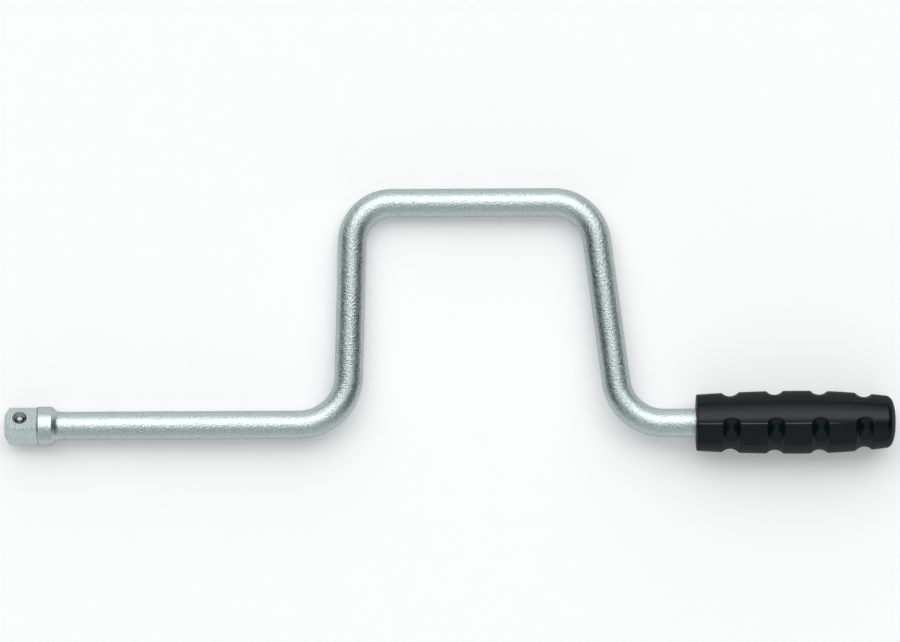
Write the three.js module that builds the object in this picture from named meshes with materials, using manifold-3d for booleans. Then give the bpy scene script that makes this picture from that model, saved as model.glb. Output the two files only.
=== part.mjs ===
import * as THREE from 'three';
import { mergeVertices } from 'three/addons/utils/BufferGeometryUtils.js';
import Module from 'manifold-3d';

// A speed brace lying flat, in millimetres. The drive axis runs along +X from the end of the drive square
// to the grip, the crank is thrown out along +Y, and +Z is up.

// Round bar and its crank, measured between the corners of the centre line
const barRadius = 6.5;
const driveRun = 156.7;
const crankThrow = 101.2;
const handleLength = 109.2;
const gripRun = 33.7;
const driveLegLean = THREE.MathUtils.degToRad(1.75);
const gripLegLean = THREE.MathUtils.degToRad(7.45);
const driveLowerBend = 22.8;
const driveUpperBend = 18.2;
const gripUpperBend = 20.2;
const gripLowerBend = 22.0;

// Drive square and collar
const squareAcrossFlats = 12.7;
const squareLength = 15.0;
const squareCornerRadius = 8.48;
const squareTipRadius = 5.1;
const squareTipChamfer = 2.0;
const squareTurn = THREE.MathUtils.degToRad(52);
const collarRadius = 8.9;
const collarLength = 6.5;
const collarChamfer = 0.6;
const neckChamfer = 1.3;
const neckSlope = THREE.MathUtils.degToRad(45);

// Spring ball in one flat of the square
const ballFromTip = 7.0;
const ballRadius = 3.2;
const ballClearance = 0.1;
const ballBoreRadius = 3.35;
const ballBoreDepth = 10.5;
const ballLipRadius = 2.95;
const ballLipDepth = 0.45;
const stakeInnerRadius = 3.55;
const stakeWidth = 0.35;
const stakeDepth = 0.25;
const springWireRadius = 0.35;
const springRoom = 0.6;
const springTurns = 4;

// Grip: barrel, front and rear ends
const gripLength = 91.5;
const gripFrontRadius = 12.85;
const gripCrestRadius = 14.4;
const gripRearRadius = 12.1;
const gripCrestFromFront = 47.5;
const gripFrontDome = 0.4;
const gripEdgeRadius = 0.6;
const gripDomeLength = 5.2;
const gripDomeFullness = 2.6;
const capDomeLength = 2.65;
const capWall = 1.8;
const capPlugLength = 7.5;

// Finger grooves of the grip: rows along its length, two part turns in each row
const grooveRows = 4;
const grooveSides = 2;
const grooveFirstFromFront = 16.0;
const grooveLastFromEnd = 14.7;
const grooveSectionRadius = 5.2;
const grooveDepth = 1.7;
const grooveStart = THREE.MathUtils.degToRad(-6.4);
const grooveSweep = THREE.MathUtils.degToRad(-100);

// Bearing of the grip on the spigot of the bar
const barEntry = 7.0;
const spigotShoulder = 2.0;
const spigotTail = 2.0;
const spigotTailChamfer = 0.6;
const spigotEndRoom = 2.0;
const bushWall = 1.2;
const bushLength = 16.0;
const bushChamfer = 0.4;
const washerThickness = 1.0;
const ringThickness = 1.0;
const ringGrooveDepth = 0.5;
const ringWidth = 1.4;
const ringLugRadius = 1.5;
const ringLugHoleRadius = 0.6;
const ringGapHalfAngle = THREE.MathUtils.degToRad(24);
const ringRoom = 0.9;

// Clearances
const mouthClearance = 0.3;
const runningClearance = 0.2;
const washerClearance = 0.15;
const pressClearance = 0.1;
const seatClearance = 0.1;
const axialFloat = 0.2;

// Facets
const barSides = 32;
const bendSteps = 9;
const neckSteps = 4;
const squareSides = 72;
const boreSides = 24;
const gripSides = 40;
const barrelSteps = 5;
const domeSteps = 4;
const edgeSteps = 3;
const grooveSectionSides = 24;
const grooveSweepSteps = 10;
const grooveEndSteps = 4;
const bearingSides = 32;
const ringArcSteps = 18;
const lugSides = 12;
const ballRows = 10;
const springSteps = 12;
const springSides = 6;
const weldDistance = 1e-4;

// Places along the drive axis
const driveLegSpread = crankThrow * Math.tan(driveLegLean);
const gripLegSpread = crankThrow * Math.tan(gripLegLean);
const gripFront = driveRun + driveLegSpread + handleLength + gripLegSpread + gripRun;
const collarEnd = squareLength + collarLength;

// Places along the grip, measured from its front
const capSeat = gripLength - capDomeLength;
const domeRoot = gripLength - gripDomeLength;
const mouthDepth = barEntry + axialFloat + washerThickness + seatClearance;
const spigotEnd = capSeat - capPlugLength - spigotEndRoom;
const ringRear = spigotEnd - spigotTail;
const ringFront = ringRear - ringThickness;
const pocketFloor = ringFront - axialFloat - washerThickness - seatClearance;

// Radii of the bearing, from the bar outwards
const spigotRadius = barRadius - spigotShoulder;
const ringSeatRadius = spigotRadius - ringGrooveDepth;
const bushBoreRadius = spigotRadius + runningClearance;
const bushRadius = bushBoreRadius + bushWall;
const gripBoreRadius = bushRadius + pressClearance;
const mouthRadius = barRadius + mouthClearance;
const ringBoreRadius = ringSeatRadius + seatClearance;
const pocketRadius = ringBoreRadius + 2 * ringLugRadius + ringRoom;

// The ball is stopped by the lip of its bore, and the spring stands between the bore's floor and the ball.
// Heights are measured from the drive axis.
const flatHeight = squareAcrossFlats / 2;
const ballReach = ballRadius + ballClearance;
const ballHeight = flatHeight - ballLipDepth - Math.sqrt(ballReach ** 2 - ballLipRadius ** 2);
const springRadius = ballBoreRadius - springRoom - springWireRadius;
const springReach = ballRadius + springWireRadius + seatClearance;
const springTop = ballHeight - Math.sqrt(springReach ** 2 - springRadius ** 2);
const springBottom = flatHeight - ballBoreDepth + springWireRadius + seatClearance;

const wasm = await Module();
wasm.setup();

// A closed skin with its shared corners merged and its collapsed triangles left out.
function weld(geometry) {
  geometry.deleteAttribute('normal');
  geometry.deleteAttribute('uv');
  const welded = mergeVertices(geometry, weldDistance);
  const corners = Array.from(welded.index.array);
  const kept = [];
  for (let i = 0; i < corners.length; i += 3) {
    const triangle = corners.slice(i, i + 3);
    if (new Set(triangle).size === 3) {
      kept.push(...triangle);
    }
  }
  welded.setIndex(kept);
  return welded;
}

function toSolid(geometry) {
  const skin = weld(geometry);
  const vertProperties = new Float32Array(skin.getAttribute('position').array);
  const triVerts = new Uint32Array(skin.index.array);
  return new wasm.Manifold(new wasm.Mesh({ numProp: 3, vertProperties, triVerts }));
}

function fromSolid(solid) {
  const { vertProperties, triVerts } = solid.getMesh();
  const geometry = new THREE.BufferGeometry();
  geometry.setAttribute('position', new THREE.BufferAttribute(vertProperties, 3));
  geometry.setIndex(new THREE.BufferAttribute(triVerts, 1));
  return geometry;
}

// A turned body about the Y axis: pairs of radius and height, up the outside and down the inside.
function turned(profile, sides) {
  const points = profile.map(([radius, height]) => new THREE.Vector2(radius, height));
  return weld(new THREE.LatheGeometry(points, sides));
}

// A round body along a path in the XY plane. Each station has a place, a heading and a radius.
function loft(stations, sides) {
  const positions = [];
  const indices = [];
  for (const { x, y, heading, radius } of stations) {
    for (let side = 0; side < sides; side += 1) {
      const angle = (2 * Math.PI * side) / sides;
      const across = radius * Math.cos(angle);
      const up = radius * Math.sin(angle);
      positions.push(x - across * Math.sin(heading), y + across * Math.cos(heading), up);
    }
  }
  for (let ring = 0; ring + 1 < stations.length; ring += 1) {
    for (let side = 0; side < sides; side += 1) {
      const a = ring * sides + side;
      const b = ring * sides + ((side + 1) % sides);
      indices.push(a, b, b + sides, a, b + sides, a + sides);
    }
  }
  const last = (stations.length - 1) * sides;
  for (let side = 1; side + 1 < sides; side += 1) {
    indices.push(0, side + 1, side, last, last + side, last + side + 1);
  }
  const geometry = new THREE.BufferGeometry();
  geometry.setAttribute('position', new THREE.Float32BufferAttribute(positions, 3));
  geometry.setIndex(indices);
  return weld(geometry);
}

function onAxis(x, radius) {
  return { x, y: 0, heading: 0, radius };
}

// The stations of one bend of the bar, round the corner of its centre line.
function bend(before, corner, after, bendRadius) {
  const incoming = Math.atan2(corner.y - before.y, corner.x - before.x);
  const outgoing = Math.atan2(after.y - corner.y, after.x - corner.x);
  const turn = outgoing - incoming;
  const tangent = bendRadius * Math.tan(Math.abs(turn) / 2);
  const offset = Math.sign(turn) * bendRadius;
  const centreX = corner.x - tangent * Math.cos(incoming) - offset * Math.sin(incoming);
  const centreY = corner.y - tangent * Math.sin(incoming) + offset * Math.cos(incoming);
  const stations = [];
  for (let step = 0; step <= bendSteps; step += 1) {
    const heading = incoming + (turn * step) / bendSteps;
    const x = centreX + offset * Math.sin(heading);
    const y = centreY - offset * Math.cos(heading);
    stations.push({ x, y, heading, radius: barRadius });
  }
  return stations;
}

function collarStations() {
  const stations = [
    onAxis(squareLength, collarRadius - collarChamfer),
    onAxis(squareLength + collarChamfer, collarRadius),
    onAxis(collarEnd, collarRadius),
  ];
  const filletRadius = (collarRadius - neckChamfer - barRadius) / (1 - Math.cos(neckSlope));
  const filletEnd = collarEnd + neckChamfer / Math.tan(neckSlope) + filletRadius * Math.sin(neckSlope);
  for (let step = 0; step <= neckSteps; step += 1) {
    const slope = neckSlope * (1 - step / neckSteps);
    const radius = barRadius + filletRadius * (1 - Math.cos(slope));
    stations.push(onAxis(filletEnd - filletRadius * Math.sin(slope), radius));
  }
  return stations;
}

function crankStations() {
  const start = new THREE.Vector2(0, 0);
  const driveLower = new THREE.Vector2(driveRun, 0);
  const driveUpper = new THREE.Vector2(driveRun + driveLegSpread, crankThrow);
  const gripUpper = new THREE.Vector2(driveUpper.x + handleLength, crankThrow);
  const gripLower = new THREE.Vector2(gripFront - gripRun, 0);
  const end = new THREE.Vector2(gripFront, 0);
  return [
    ...bend(start, driveLower, driveUpper, driveLowerBend),
    ...bend(driveLower, driveUpper, gripUpper, driveUpperBend),
    ...bend(driveUpper, gripUpper, gripLower, gripUpperBend),
    ...bend(gripUpper, gripLower, end, gripLowerBend),
  ];
}

// The turned-down end of the bar that the grip runs on, with the groove of its retaining ring.
function spigotStations() {
  return [
    onAxis(gripFront + barEntry, barRadius),
    onAxis(gripFront + barEntry, spigotRadius),
    onAxis(gripFront + ringFront - seatClearance, spigotRadius),
    onAxis(gripFront + ringFront - seatClearance, ringSeatRadius),
    onAxis(gripFront + ringRear + seatClearance, ringSeatRadius),
    onAxis(gripFront + ringRear + seatClearance, spigotRadius),
    onAxis(gripFront + spigotEnd - spigotTailChamfer, spigotRadius),
    onAxis(gripFront + spigotEnd, spigotRadius - spigotTailChamfer),
  ];
}

// The drive square: a square bar whose tip and corners are turned to a chamfered envelope.
function driveSquare() {
  const length = collarEnd;
  const bar = new THREE.BoxGeometry(2 * length, squareAcrossFlats, squareAcrossFlats);
  bar.rotateX(squareTurn);
  const envelope = turned([
    [0, 0],
    [squareTipRadius, 0],
    [squareCornerRadius, squareTipChamfer],
    [squareCornerRadius, length],
    [0, length],
  ], squareSides);
  envelope.rotateZ(-Math.PI / 2);
  return toSolid(bar).intersect(toSolid(envelope));
}

function toFlatOfSquare(geometry) {
  geometry.rotateX(squareTurn);
  geometry.translate(ballFromTip, 0, 0);
  return geometry;
}

// The stepped bore that holds the ball, and the ring staked round its mouth to close the lip over the ball.
function ballBore() {
  const above = flatHeight + ballRadius;
  const bore = turned([
    [0, flatHeight - ballBoreDepth],
    [ballBoreRadius, flatHeight - ballBoreDepth],
    [ballBoreRadius, flatHeight - ballLipDepth],
    [ballLipRadius, flatHeight - ballLipDepth],
    [ballLipRadius, above],
    [0, above],
  ], boreSides);
  const stake = turned([
    [stakeInnerRadius, flatHeight - stakeDepth],
    [stakeInnerRadius + stakeWidth, flatHeight - stakeDepth],
    [stakeInnerRadius + stakeWidth, above],
    [stakeInnerRadius, above],
    [stakeInnerRadius, flatHeight - stakeDepth],
  ], boreSides);
  return toSolid(toFlatOfSquare(bore)).add(toSolid(toFlatOfSquare(stake)));
}

function crankGeometry() {
  const bar = loft([...collarStations(), ...crankStations(), ...spigotStations()], barSides);
  return fromSolid(toSolid(bar).add(driveSquare()).subtract(ballBore()));
}

function ballGeometry() {
  return weld(new THREE.SphereGeometry(ballRadius, boreSides, ballRows));
}

// One unbroken coil of round wire about the Y axis, with flat ends.
function springGeometry() {
  const steps = springTurns * springSteps;
  const lead = Math.atan2(springTop - springBottom, 2 * Math.PI * springTurns * springRadius);
  const positions = [];
  const indices = [];
  const centres = [];
  for (let step = 0; step <= steps; step += 1) {
    const share = step / steps;
    const angle = 2 * Math.PI * springTurns * share;
    const outward = new THREE.Vector3(Math.cos(angle), 0, -Math.sin(angle));
    const upward = new THREE.Vector3(Math.sin(angle), 0, Math.cos(angle));
    upward.multiplyScalar(Math.sin(lead));
    upward.y = Math.cos(lead);
    const centre = outward.clone().multiplyScalar(springRadius);
    centre.y = THREE.MathUtils.lerp(springBottom, springTop, share);
    centres.push(centre);
    for (let side = 0; side < springSides; side += 1) {
      const turn = (2 * Math.PI * side) / springSides;
      const point = centre.clone();
      point.addScaledVector(outward, springWireRadius * Math.cos(turn));
      point.addScaledVector(upward, springWireRadius * Math.sin(turn));
      positions.push(point.x, point.y, point.z);
    }
  }
  for (let ring = 0; ring < steps; ring += 1) {
    for (let side = 0; side < springSides; side += 1) {
      const a = ring * springSides + side;
      const b = ring * springSides + ((side + 1) % springSides);
      indices.push(a, b + springSides, b, a, a + springSides, b + springSides);
    }
  }
  const last = steps * springSides;
  for (let side = 1; side + 1 < springSides; side += 1) {
    indices.push(0, side, side + 1, last, last + side + 1, last + side);
  }
  printLeastGap(centres);
  const geometry = new THREE.BufferGeometry();
  geometry.setAttribute('position', new THREE.Float32BufferAttribute(positions, 3));
  geometry.setIndex(indices);
  return weld(geometry);
}

// The least gap of the wire to itself, between points more than half a turn apart.
function printLeastGap(centres) {
  let least = Infinity;
  for (let i = 0; i < centres.length; i += 1) {
    for (let j = i + springSteps / 2 + 1; j < centres.length; j += 1) {
      least = Math.min(least, centres[i].distanceTo(centres[j]) - 2 * springWireRadius);
    }
  }
  console.log(`detent_spring: least gap to itself ${least.toFixed(3)} mm`);
}

// The barrel swells from the front to its crest and falls to the root of the rear dome, in two flat arcs.
function barrelRadius(fromFront) {
  const inFront = fromFront < gripCrestFromFront;
  const run = inFront ? gripCrestFromFront : domeRoot - gripCrestFromFront;
  const drop = gripCrestRadius - (inFront ? gripFrontRadius : gripRearRadius);
  const arcRadius = (run ** 2 + drop ** 2) / (2 * drop);
  const fromCrest = fromFront - gripCrestFromFront;
  return gripCrestRadius - arcRadius + Math.sqrt(arcRadius ** 2 - fromCrest ** 2);
}

// A point of the full-shouldered half ellipse that closes the rear of the grip: its root is at 0, its tip
// at a quarter turn.
function domePoint(angle) {
  const power = 2 / gripDomeFullness;
  return [gripRearRadius * Math.cos(angle) ** power, domeRoot + gripDomeLength * Math.sin(angle) ** power];
}

// The angle at which the dome has risen by this share of its length.
function domeAngle(share) {
  return Math.asin(share ** (gripDomeFullness / 2));
}

const capSeamAngle = domeAngle(1 - capDomeLength / gripDomeLength);

function gripProfile() {
  const profile = [[mouthRadius, 0]];
  const edgeEnd = gripFrontDome + gripEdgeRadius;
  const edgeCentre = barrelRadius(edgeEnd) - gripEdgeRadius;
  for (let step = 0; step < edgeSteps; step += 1) {
    const angle = (Math.PI / 2) * (step / edgeSteps);
    profile.push([edgeCentre + gripEdgeRadius * Math.sin(angle), edgeEnd - gripEdgeRadius * Math.cos(angle)]);
  }
  for (let step = 0; step < barrelSteps; step += 1) {
    const height = THREE.MathUtils.lerp(edgeEnd, gripCrestFromFront, step / barrelSteps);
    profile.push([barrelRadius(height), height]);
  }
  for (let step = 0; step < barrelSteps; step += 1) {
    const height = THREE.MathUtils.lerp(gripCrestFromFront, domeRoot, step / barrelSteps);
    profile.push([barrelRadius(height), height]);
  }
  for (let step = 0; step <= domeSteps; step += 1) {
    profile.push(domePoint((capSeamAngle * step) / domeSteps));
  }
  profile.push(
    [pocketRadius, capSeat],
    [pocketRadius, pocketFloor],
    [gripBoreRadius, pocketFloor],
    [gripBoreRadius, mouthDepth],
    [mouthRadius, mouthDepth],
    [mouthRadius, 0],
  );
  return profile;
}

// The cutter of one finger groove: a round bar bent about the grip's axis, with ball ends, where the barrel
// is as high as it is at the middle of the groove.
function grooveCutter(fromFront, start) {
  const arcRadius = barrelRadius(fromFront) - grooveDepth + grooveSectionRadius;
  const stations = [];
  const addStation = (angle, heading, beyond, radius) => {
    const x = arcRadius * Math.cos(angle) + beyond * Math.cos(heading);
    const y = arcRadius * Math.sin(angle) + beyond * Math.sin(heading);
    stations.push({ x, y, heading, radius });
  };
  const turn = Math.sign(grooveSweep) * (Math.PI / 2);
  const end = start + grooveSweep;
  for (let step = grooveEndSteps; step > 0; step -= 1) {
    const cap = (Math.PI / 2) * (step / grooveEndSteps);
    const beyond = grooveSectionRadius * Math.sin(cap);
    addStation(start, start + turn, -beyond, grooveSectionRadius * Math.cos(cap));
  }
  for (let step = 0; step <= grooveSweepSteps; step += 1) {
    const angle = start + (grooveSweep * step) / grooveSweepSteps;
    addStation(angle, angle + turn, 0, grooveSectionRadius);
  }
  for (let step = 1; step <= grooveEndSteps; step += 1) {
    const cap = (Math.PI / 2) * (step / grooveEndSteps);
    const beyond = grooveSectionRadius * Math.sin(cap);
    addStation(end, end + turn, beyond, grooveSectionRadius * Math.cos(cap));
  }
  const cutter = loft(stations, grooveSectionSides);
  cutter.rotateX(Math.PI / 2);
  cutter.rotateY(-Math.PI / 2);
  cutter.translate(0, fromFront, 0);
  return cutter;
}

function gripGeometry() {
  let body = toSolid(turned(gripProfile(), gripSides));
  const pitch = (gripLength - grooveFirstFromFront - grooveLastFromEnd) / (grooveRows - 1);
  for (let row = 0; row < grooveRows; row += 1) {
    for (let side = 0; side < grooveSides; side += 1) {
      const start = grooveStart + (2 * Math.PI * side) / grooveSides;
      body = body.subtract(toSolid(grooveCutter(grooveFirstFromFront + pitch * row, start)));
    }
  }
  return fromSolid(body);
}

// A plain bush, chamfered outside at both ends to lead it into the grip.
function bushGeometry(front) {
  const rear = front + bushLength;
  return turned([
    [bushBoreRadius, front],
    [bushRadius - bushChamfer, front],
    [bushRadius, front + bushChamfer],
    [bushRadius, rear - bushChamfer],
    [bushRadius - bushChamfer, rear],
    [bushBoreRadius, rear],
    [bushBoreRadius, front],
  ], bearingSides);
}

function washerGeometry(outerRadius, front) {
  const rear = front + washerThickness;
  return turned([
    [bushBoreRadius, front],
    [outerRadius, front],
    [outerRadius, rear],
    [bushBoreRadius, rear],
    [bushBoreRadius, front],
  ], bearingSides);
}

// An external retaining ring: an open ring with a drilled lug at each side of its gap.
function ringGeometry() {
  const outerRadius = ringBoreRadius + ringWidth;
  const outline = new THREE.Shape();
  outline.absarc(0, 0, outerRadius, ringGapHalfAngle, 2 * Math.PI - ringGapHalfAngle, false);
  outline.absarc(0, 0, ringBoreRadius, 2 * Math.PI - ringGapHalfAngle, ringGapHalfAngle, true);
  const open = { depth: ringThickness, bevelEnabled: false, curveSegments: ringArcSteps };
  let ring = toSolid(new THREE.ExtrudeGeometry(outline, open));
  for (const side of [1, -1]) {
    const reach = ringBoreRadius + ringLugRadius;
    const x = reach * Math.cos(ringGapHalfAngle);
    const y = side * reach * Math.sin(ringGapHalfAngle);
    const disc = (radius, thickness) => {
      const cylinder = new THREE.CylinderGeometry(radius, radius, thickness, lugSides);
      cylinder.rotateX(Math.PI / 2);
      cylinder.translate(x, y, ringThickness / 2);
      return toSolid(cylinder);
    };
    ring = ring.add(disc(ringLugRadius, ringThickness));
    ring = ring.subtract(disc(ringLugHoleRadius, 2 * ringThickness));
  }
  const geometry = fromSolid(ring);
  geometry.rotateX(-Math.PI / 2);
  geometry.translate(0, ringFront, 0);
  return geometry;
}

// The end cap: a shallow dome flush with the grip, on a hollow plug pressed into the grip's rear pocket.
function capGeometry() {
  const plugRadius = pocketRadius - pressClearance;
  const seat = capSeat + seatClearance;
  const plugEnd = capSeat - capPlugLength;
  const profile = [
    [0, capSeat],
    [plugRadius - capWall, capSeat],
    [plugRadius - capWall, plugEnd],
    [plugRadius, plugEnd],
    [plugRadius, seat],
  ];
  const first = domeAngle(1 - (capDomeLength - seatClearance) / gripDomeLength);
  for (let step = 0; step <= domeSteps; step += 1) {
    profile.push(domePoint(THREE.MathUtils.lerp(first, Math.PI / 2, step / domeSteps)));
  }
  return turned(profile, gripSides);
}

const satinChrome = { color: 0xc9ced0, roughness: 0.34, metalness: 1 };
const polishedSteel = { color: 0x9ca2a6, roughness: 0.12, metalness: 1 };
const springSteel = { color: 0x6e7377, roughness: 0.35, metalness: 1 };
const blackPlastic = { color: 0x0d1011, roughness: 0.32, metalness: 0 };
const sinteredBronze = { color: 0x9a6c3c, roughness: 0.55, metalness: 1 };
const zincPlate = { color: 0xb8bcbe, roughness: 0.4, metalness: 1 };
const blackPhosphate = { color: 0x2b2d2f, roughness: 0.5, metalness: 0.8 };

function piece(name, geometry, finish) {
  geometry.computeVertexNormals();
  const mesh = new THREE.Mesh(geometry, new THREE.MeshStandardMaterial({ ...finish, flatShading: true }));
  mesh.name = name;
  return mesh;
}

// The ball and its spring stand on the normal of one flat of the square.
const detent = new THREE.Group();
detent.position.set(ballFromTip, 0, 0);
detent.rotation.x = squareTurn;
const ball = piece('detent_ball', ballGeometry(), polishedSteel);
ball.position.y = ballHeight;
detent.add(ball, piece('detent_spring', springGeometry(), springSteel));

// The grip and its bearing are turned about the drive axis, from the front of the grip backwards.
const gripAssembly = new THREE.Group();
gripAssembly.position.set(gripFront, 0, 0);
gripAssembly.rotation.z = -Math.PI / 2;
const frontWasher = washerGeometry(mouthRadius - washerClearance, barEntry + axialFloat);
const rearWasher = washerGeometry(pocketRadius - washerClearance, pocketFloor + seatClearance);
gripAssembly.add(
  piece('grip', gripGeometry(), blackPlastic),
  piece('front_bush', bushGeometry(mouthDepth + seatClearance), sinteredBronze),
  piece('rear_bush', bushGeometry(pocketFloor - seatClearance - bushLength), sinteredBronze),
  piece('front_thrust_washer', frontWasher, zincPlate),
  piece('rear_thrust_washer', rearWasher, zincPlate),
  piece('retaining_ring', ringGeometry(), blackPhosphate),
  piece('end_cap', capGeometry(), blackPlastic),
);

const brace = new THREE.Group();
brace.add(piece('crank', crankGeometry(), satinChrome), detent, gripAssembly);

export default brace;
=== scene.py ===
import math

import bmesh
import bpy
from mathutils import Matrix, Vector


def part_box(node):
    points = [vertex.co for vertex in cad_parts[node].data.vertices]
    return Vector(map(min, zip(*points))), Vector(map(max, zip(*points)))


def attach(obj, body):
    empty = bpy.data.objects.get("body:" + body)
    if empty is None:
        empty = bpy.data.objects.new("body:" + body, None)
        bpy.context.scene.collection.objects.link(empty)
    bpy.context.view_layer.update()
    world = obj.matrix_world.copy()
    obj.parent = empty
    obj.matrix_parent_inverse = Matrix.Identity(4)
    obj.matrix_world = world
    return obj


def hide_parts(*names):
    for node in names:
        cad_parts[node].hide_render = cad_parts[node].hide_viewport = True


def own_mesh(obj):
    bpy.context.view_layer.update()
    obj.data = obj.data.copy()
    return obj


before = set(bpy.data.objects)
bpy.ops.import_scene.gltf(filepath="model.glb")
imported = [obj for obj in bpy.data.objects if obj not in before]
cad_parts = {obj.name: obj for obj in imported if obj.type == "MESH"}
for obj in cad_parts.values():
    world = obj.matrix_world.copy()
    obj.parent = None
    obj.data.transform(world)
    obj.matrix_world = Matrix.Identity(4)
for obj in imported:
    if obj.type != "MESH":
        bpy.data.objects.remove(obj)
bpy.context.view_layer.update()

# The crank is one forged steel bar, bent to its U-shaped throw, with the drive square and its collar worked
# at one end and a thinner spigot for the grip at the other. It is linished lengthwise, which leaves a fine
# lay along the bar, and then satin chromed.
bar_radius = 0.0065
bar_sides = 180
bar_crease = math.radians(32)
bend_steps = 24
drive_run = 0.1567
handle_length = 0.1092
drive_leg_lean = math.radians(1.75)
grip_leg_lean = math.radians(7.45)
drive_lower_bend = 0.0228
drive_upper_bend = 0.0182
grip_upper_bend = 0.0202
grip_lower_bend = 0.0220

square_half = 0.00635
square_length = 0.015
square_turn = math.radians(52)
corner_radius = 0.00848
crease_blend = 0.00018
tip_radius = 0.0051
tip_chamfer = 0.002
tip_break = 0.0002
tip_break_steps = 4
tip_rows = 30
collar_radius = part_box("crank")[1].z
collar_end = 0.0215
collar_chamfer = 0.0006
collar_face_radius = collar_radius - collar_chamfer
root_fillet = 0.0002
neck_chamfer = 0.0013
neck_slope = math.radians(45)
edge_break = 0.00007
round_steps = 8

ball_from_tip = 0.007
ball_bore_radius = 0.00335
ball_bore_depth = 0.0105
ball_lip_radius = 0.00295
ball_lip_depth = 0.00045
stake_inner_radius = 0.00355
stake_outer_radius = 0.0039
stake_depth = 0.00025
cutter_sides = 72
# Painted shade in the chrome's hollows: how far past its reach it fades out, and how dark it gets.
painted_shade_edge = 0.0002
painted_shade_depth = 0.6

grip_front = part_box("grip")[0].x
bar_entry = 0.007
spigot_radius = 0.0045
spigot_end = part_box("crank")[1].x
spigot_chamfer = 0.0006
ring_groove_radius = 0.004
ring_seat = 0.0001
ring_groove_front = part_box("retaining_ring")[0].x - ring_seat
ring_groove_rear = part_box("retaining_ring")[1].x + ring_seat


def skin(name, shells):
    """A mesh of shells. A shell is a list of rows of points, each row joined to the next all round; a row
    of one point is a pole. A shell whose first and last rows are one list is closed on itself."""
    work = bmesh.new()
    for rows in shells:
        made = {}
        for row in rows:
            if id(row) not in made:
                made[id(row)] = [work.verts.new(point) for point in row]
        for near, far in zip(rows, rows[1:]):
            near, far = made[id(near)], made[id(far)]
            count = max(len(near), len(far))
            for side in range(count):
                ahead = (side + 1) % count
                if len(near) == 1:
                    work.faces.new((near[0], far[side], far[ahead]))
                elif len(far) == 1:
                    work.faces.new((near[ahead], near[side], far[0]))
                else:
                    work.faces.new((near[ahead], near[side], far[side], far[ahead]))
    mesh = bpy.data.meshes.new(name)
    work.to_mesh(mesh)
    work.free()
    return mesh


def turned(profile, sides):
    """Rows of points turned about the X axis, from pairs of a place along it and a radius."""
    rows = []
    for along, radius in profile:
        angles = [2 * math.pi * side / sides for side in range(sides)]
        row = [Vector((along, radius * math.cos(angle), radius * math.sin(angle))) for angle in angles]
        rows.append(row if radius > 0 else row[:1])
    return rows


def broken(profile, cut):
    """The profile with a point at either side of each corner, at most a third of the way along its run, so
    that the corner shades as a fine round."""
    points = [Vector(point) for point in profile]
    fine = [points[0]]
    for before, corner, after in zip(points, points[1:], points[2:]):
        to_before, to_after = before - corner, after - corner
        fine.append(corner + to_before.normalized() * min(cut, to_before.length / 3))
        fine.append(corner)
        fine.append(corner + to_after.normalized() * min(cut, to_after.length / 3))
    fine.append(points[-1])
    return [tuple(point) for point in fine]


def soft_min(a, b, width):
    """The lesser of the two, blended over this width where they cross."""
    overlap = max(width - abs(a - b), 0.0)
    return min(a, b) - overlap * overlap / (4 * width)


def add_object(name, mesh):
    obj = bpy.data.objects.new(name, mesh)
    bpy.context.scene.collection.objects.link(obj)
    return obj


def add_node(tree, kind, inputs=None, **settings):
    """A node with its settings, and its inputs set to numbers or joined to sockets."""
    node = tree.nodes.new(kind)
    for name, value in settings.items():
        setattr(node, name, value)
    for name, value in (inputs or {}).items():
        if isinstance(value, bpy.types.NodeSocket):
            tree.links.new(value, node.inputs[name])
        else:
            node.inputs[name].default_value = value
    return node


def calc(tree, operation, *terms):
    """One step of arithmetic on numbers and sockets."""
    return add_node(tree, "ShaderNodeMath", dict(enumerate(terms)), operation=operation).outputs[0]


def vector_calc(tree, operation, *terms):
    """One step of arithmetic on vectors; gives the outputs of its node."""
    return add_node(tree, "ShaderNodeVectorMath", dict(enumerate(terms)), operation=operation).outputs


def sized_tree(name, sizes):
    """A Geometry Nodes tree with a named input for each size; gives it and its sockets by name."""
    kinds = {float: "NodeSocketFloat", int: "NodeSocketInt", bpy.types.Material: "NodeSocketMaterial"}
    tree = bpy.data.node_groups.new(name, "GeometryNodeTree")
    tree.interface.new_socket("Geometry", in_out="INPUT", socket_type="NodeSocketGeometry")
    tree.interface.new_socket("Geometry", in_out="OUTPUT", socket_type="NodeSocketGeometry")
    for label, value in sizes.items():
        tree.interface.new_socket(label, in_out="INPUT", socket_type=kinds[type(value)])
    given = tree.nodes.new("NodeGroupInput")
    return tree, {socket.name: socket for socket in given.outputs if socket.name}


def end_tree(tree, geometry, finish):
    """The last nodes of every tree: real geometry, in its finish."""
    real = add_node(tree, "GeometryNodeRealizeInstances", {"Geometry": geometry})
    dressed = add_node(tree, "GeometryNodeSetMaterial", {"Geometry": real.outputs[0], "Material": finish})
    result = tree.nodes.new("NodeGroupOutput")
    tree.links.new(dressed.outputs[0], result.inputs[0])


def settle(obj):
    """Turns what the object's modifiers make into its own plain mesh."""
    bpy.context.view_layer.update()
    evaluated = obj.evaluated_get(bpy.context.evaluated_depsgraph_get())
    obj.data = bpy.data.meshes.new_from_object(evaluated)
    obj.modifiers.clear()


def grow(obj, tree, sizes):
    """Runs the tree on the object with these sizes and keeps the plain mesh."""
    modifier = obj.modifiers.new(tree.name, "NODES")
    modifier.node_group = tree
    for item in tree.interface.items_tree:
        if item.in_out == "INPUT" and item.name in sizes:
            modifier[item.identifier] = sizes[item.name]
    settle(obj)


def face_outwards(mesh):
    work = bmesh.new()
    work.from_mesh(mesh)
    bmesh.ops.recalc_face_normals(work, faces=work.faces)
    work.to_mesh(mesh)
    work.free()


def shade(mesh, crease):
    """Smooth shading, broken where faces meet at more than the crease's angle."""
    mesh.polygons.foreach_set("use_smooth", [True] * len(mesh.polygons))
    mesh.set_sharp_from_angle(angle=crease)


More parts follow.
